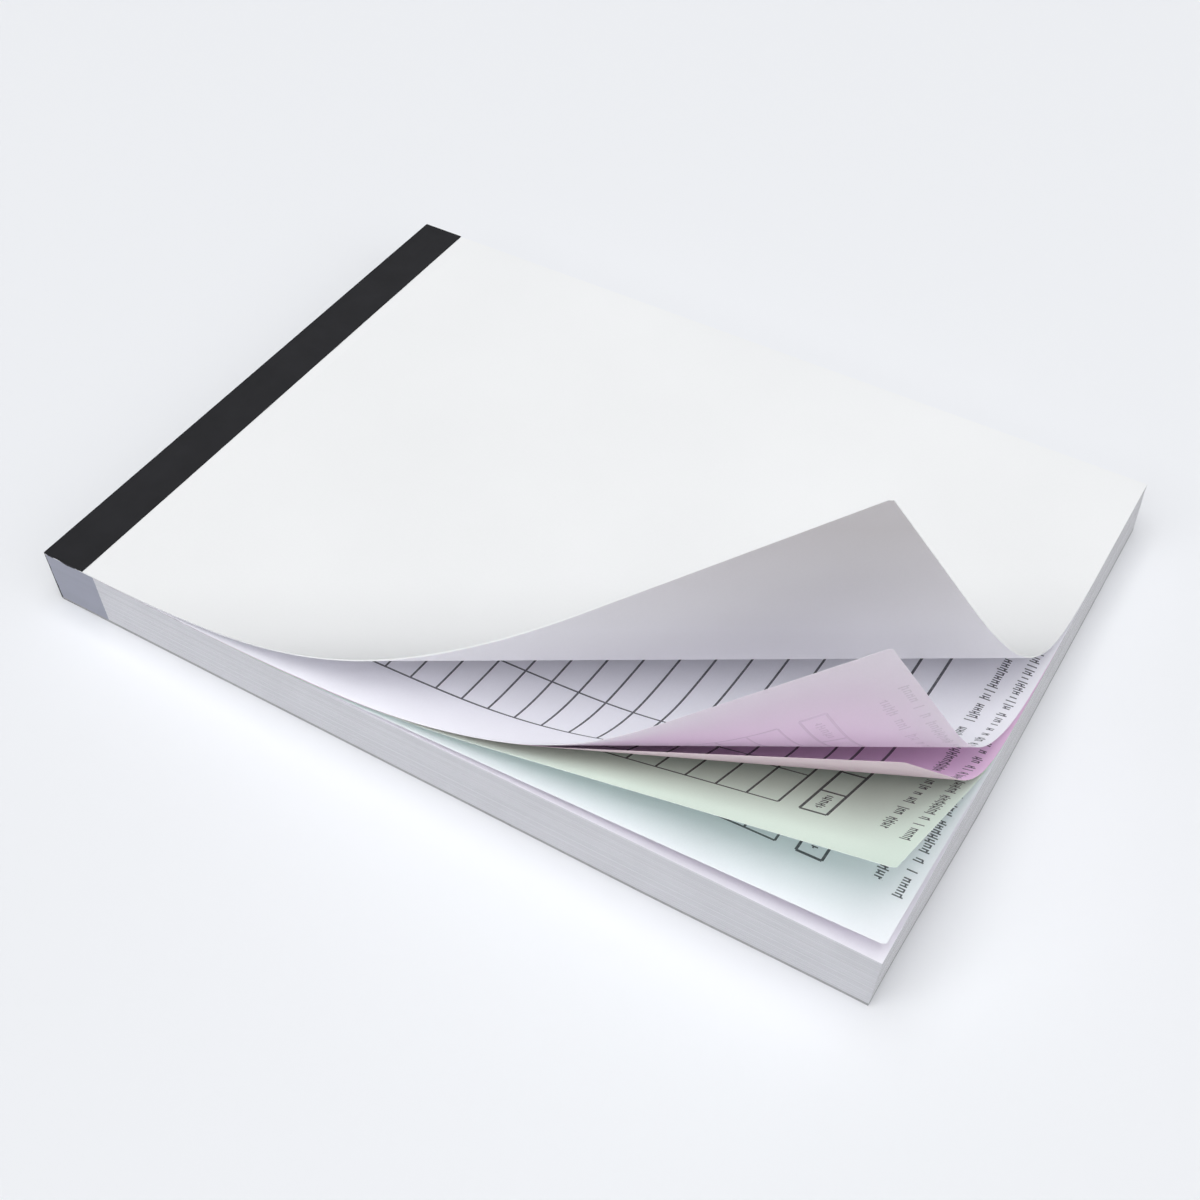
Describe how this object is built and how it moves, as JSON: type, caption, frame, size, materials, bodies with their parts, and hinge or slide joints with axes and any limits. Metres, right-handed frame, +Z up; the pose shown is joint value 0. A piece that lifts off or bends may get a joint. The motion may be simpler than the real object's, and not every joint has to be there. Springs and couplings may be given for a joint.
{
  "type": "carbonless receipt pad",
  "caption": "Head-bound carbonless receipt pad with a black taped spine, white card cover and coloured copies curled up at one corner.",
  "frame": {"origin": "on the surface that the pad lies on, under the middle of the pad", "axes": "+X from the bound edge to the fore edge, +Y from the near long edge to the far one, +Z up"},
  "size_m": [0.21, 0.148, 0.0854],
  "materials": {
    "tape": "matt black binding cloth",
    "cover_card": "smooth white card",
    "board": "plain grey board",
    "glue": "dried padding glue",
    "wire": "galvanised flat wire",
    "white_paper": "white carbonless paper",
    "pink_paper": "pink carbonless paper",
    "green_paper": "pale green carbonless paper",
    "block_paper": "cut edges of the stacked sets"
  },
  "bodies": {
    "binding": {"back_board": "board", "binding_tape": "tape", "spine_glue": "glue", "wire_stitches": "wire", "cover_margin": "cover_card", "white_top_stub": "white_paper", "pink_stub": "pink_paper", "green_stub": "green_paper", "white_last_stub": "white_paper", "stub_pack_1": "block_paper", "stub_pack_2": "block_paper", "stub_pack_3": "block_paper", "stub_pack_4": "block_paper", "stub_pack_5": "block_paper", "stub_pack_6": "block_paper", "stub_pack_7": "block_paper"},
    "front_cover": {"front_cover": "cover_card"},
    "white_top_copy": {"white_top_copy": "white_paper"},
    "pink_copy": {"pink_copy": "pink_paper"},
    "green_copy": {"green_copy": "green_paper"},
    "white_last_copy": {"white_last_copy": "white_paper"},
    "leaf_pack_1": {"leaf_pack_1": "block_paper"},
    "leaf_pack_2": {"leaf_pack_2": "block_paper"},
    "leaf_pack_3": {"leaf_pack_3": "block_paper"},
    "leaf_pack_4": {"leaf_pack_4": "block_paper"},
    "leaf_pack_5": {"leaf_pack_5": "block_paper"},
    "leaf_pack_6": {"leaf_pack_6": "block_paper"},
    "leaf_pack_7": {"leaf_pack_7": "block_paper"}
  },
  "joints": [
    {"name": "cover_hinge", "type": "hinge", "parent": "white_top_copy", "child": "front_cover", "pos_m": [-0.09, 0, 0.0155], "axis": [0, -1, 0], "range_deg": [0, 115]},
    {"name": "white_top_copy_hinge", "type": "hinge", "parent": "binding", "child": "white_top_copy", "pos_m": [-0.09, 0, 0.0155], "axis": [0, -1, 0], "range_deg": [0, 45]},
    {"name": "pink_copy_hinge", "type": "hinge", "parent": "binding", "child": "pink_copy", "pos_m": [-0.09, 0, 0.0155], "axis": [0, -1, 0], "range_deg": [0, 40.92]},
    {"name": "green_copy_hinge", "type": "hinge", "parent": "binding", "child": "green_copy", "pos_m": [-0.09, 0, 0.0155], "axis": [0, -1, 0], "range_deg": [0, 36.83]},
    {"name": "white_last_copy_hinge", "type": "hinge", "parent": "binding", "child": "white_last_copy", "pos_m": [-0.09, 0, 0.0155], "axis": [0, -1, 0], "range_deg": [0, 32.74]},
    {"name": "leaf_pack_1_hinge", "type": "hinge", "parent": "binding", "child": "leaf_pack_1", "pos_m": [-0.09, 0, 0.0155], "axis": [0, -1, 0], "range_deg": [0, 28.65]},
    {"name": "leaf_pack_2_hinge", "type": "hinge", "parent": "binding", "child": "leaf_pack_2", "pos_m": [-0.09, 0, 0.0155], "axis": [0, -1, 0], "range_deg": [0, 24.56]},
    {"name": "leaf_pack_3_hinge", "type": "hinge", "parent": "binding", "child": "leaf_pack_3", "pos_m": [-0.09, 0, 0.0155], "axis": [0, -1, 0], "range_deg": [0, 20.46]},
    {"name": "leaf_pack_4_hinge", "type": "hinge", "parent": "binding", "child": "leaf_pack_4", "pos_m": [-0.09, 0, 0.0155], "axis": [0, -1, 0], "range_deg": [0, 16.37]},
    {"name": "leaf_pack_5_hinge", "type": "hinge", "parent": "binding", "child": "leaf_pack_5", "pos_m": [-0.09, 0, 0.0155], "axis": [0, -1, 0], "range_deg": [0, 12.28]},
    {"name": "leaf_pack_6_hinge", "type": "hinge", "parent": "binding", "child": "leaf_pack_6", "pos_m": [-0.09, 0, 0.0155], "axis": [0, -1, 0], "range_deg": [0, 8.19]},
    {"name": "leaf_pack_7_hinge", "type": "hinge", "parent": "binding", "child": "leaf_pack_7", "pos_m": [-0.09, 0, 0.0155], "axis": [0, -1, 0], "range_deg": [0, 4.1]}
  ],
  "couplings": [
    {"joint": "pink_copy_hinge", "follows": "white_top_copy_hinge", "ratio": 0.90909},
    {"joint": "green_copy_hinge", "follows": "white_top_copy_hinge", "ratio": 0.81818},
    {"joint": "white_last_copy_hinge", "follows": "white_top_copy_hinge", "ratio": 0.72727},
    {"joint": "leaf_pack_1_hinge", "follows": "white_top_copy_hinge", "ratio": 0.63636},
    {"joint": "leaf_pack_2_hinge", "follows": "white_top_copy_hinge", "ratio": 0.54546},
    {"joint": "leaf_pack_3_hinge", "follows": "white_top_copy_hinge", "ratio": 0.45454},
    {"joint": "leaf_pack_4_hinge", "follows": "white_top_copy_hinge", "ratio": 0.36364},
    {"joint": "leaf_pack_5_hinge", "follows": "white_top_copy_hinge", "ratio": 0.27273},
    {"joint": "leaf_pack_6_hinge", "follows": "white_top_copy_hinge", "ratio": 0.18182},
    {"joint": "leaf_pack_7_hinge", "follows": "white_top_copy_hinge", "ratio": 0.090909}
  ]
}
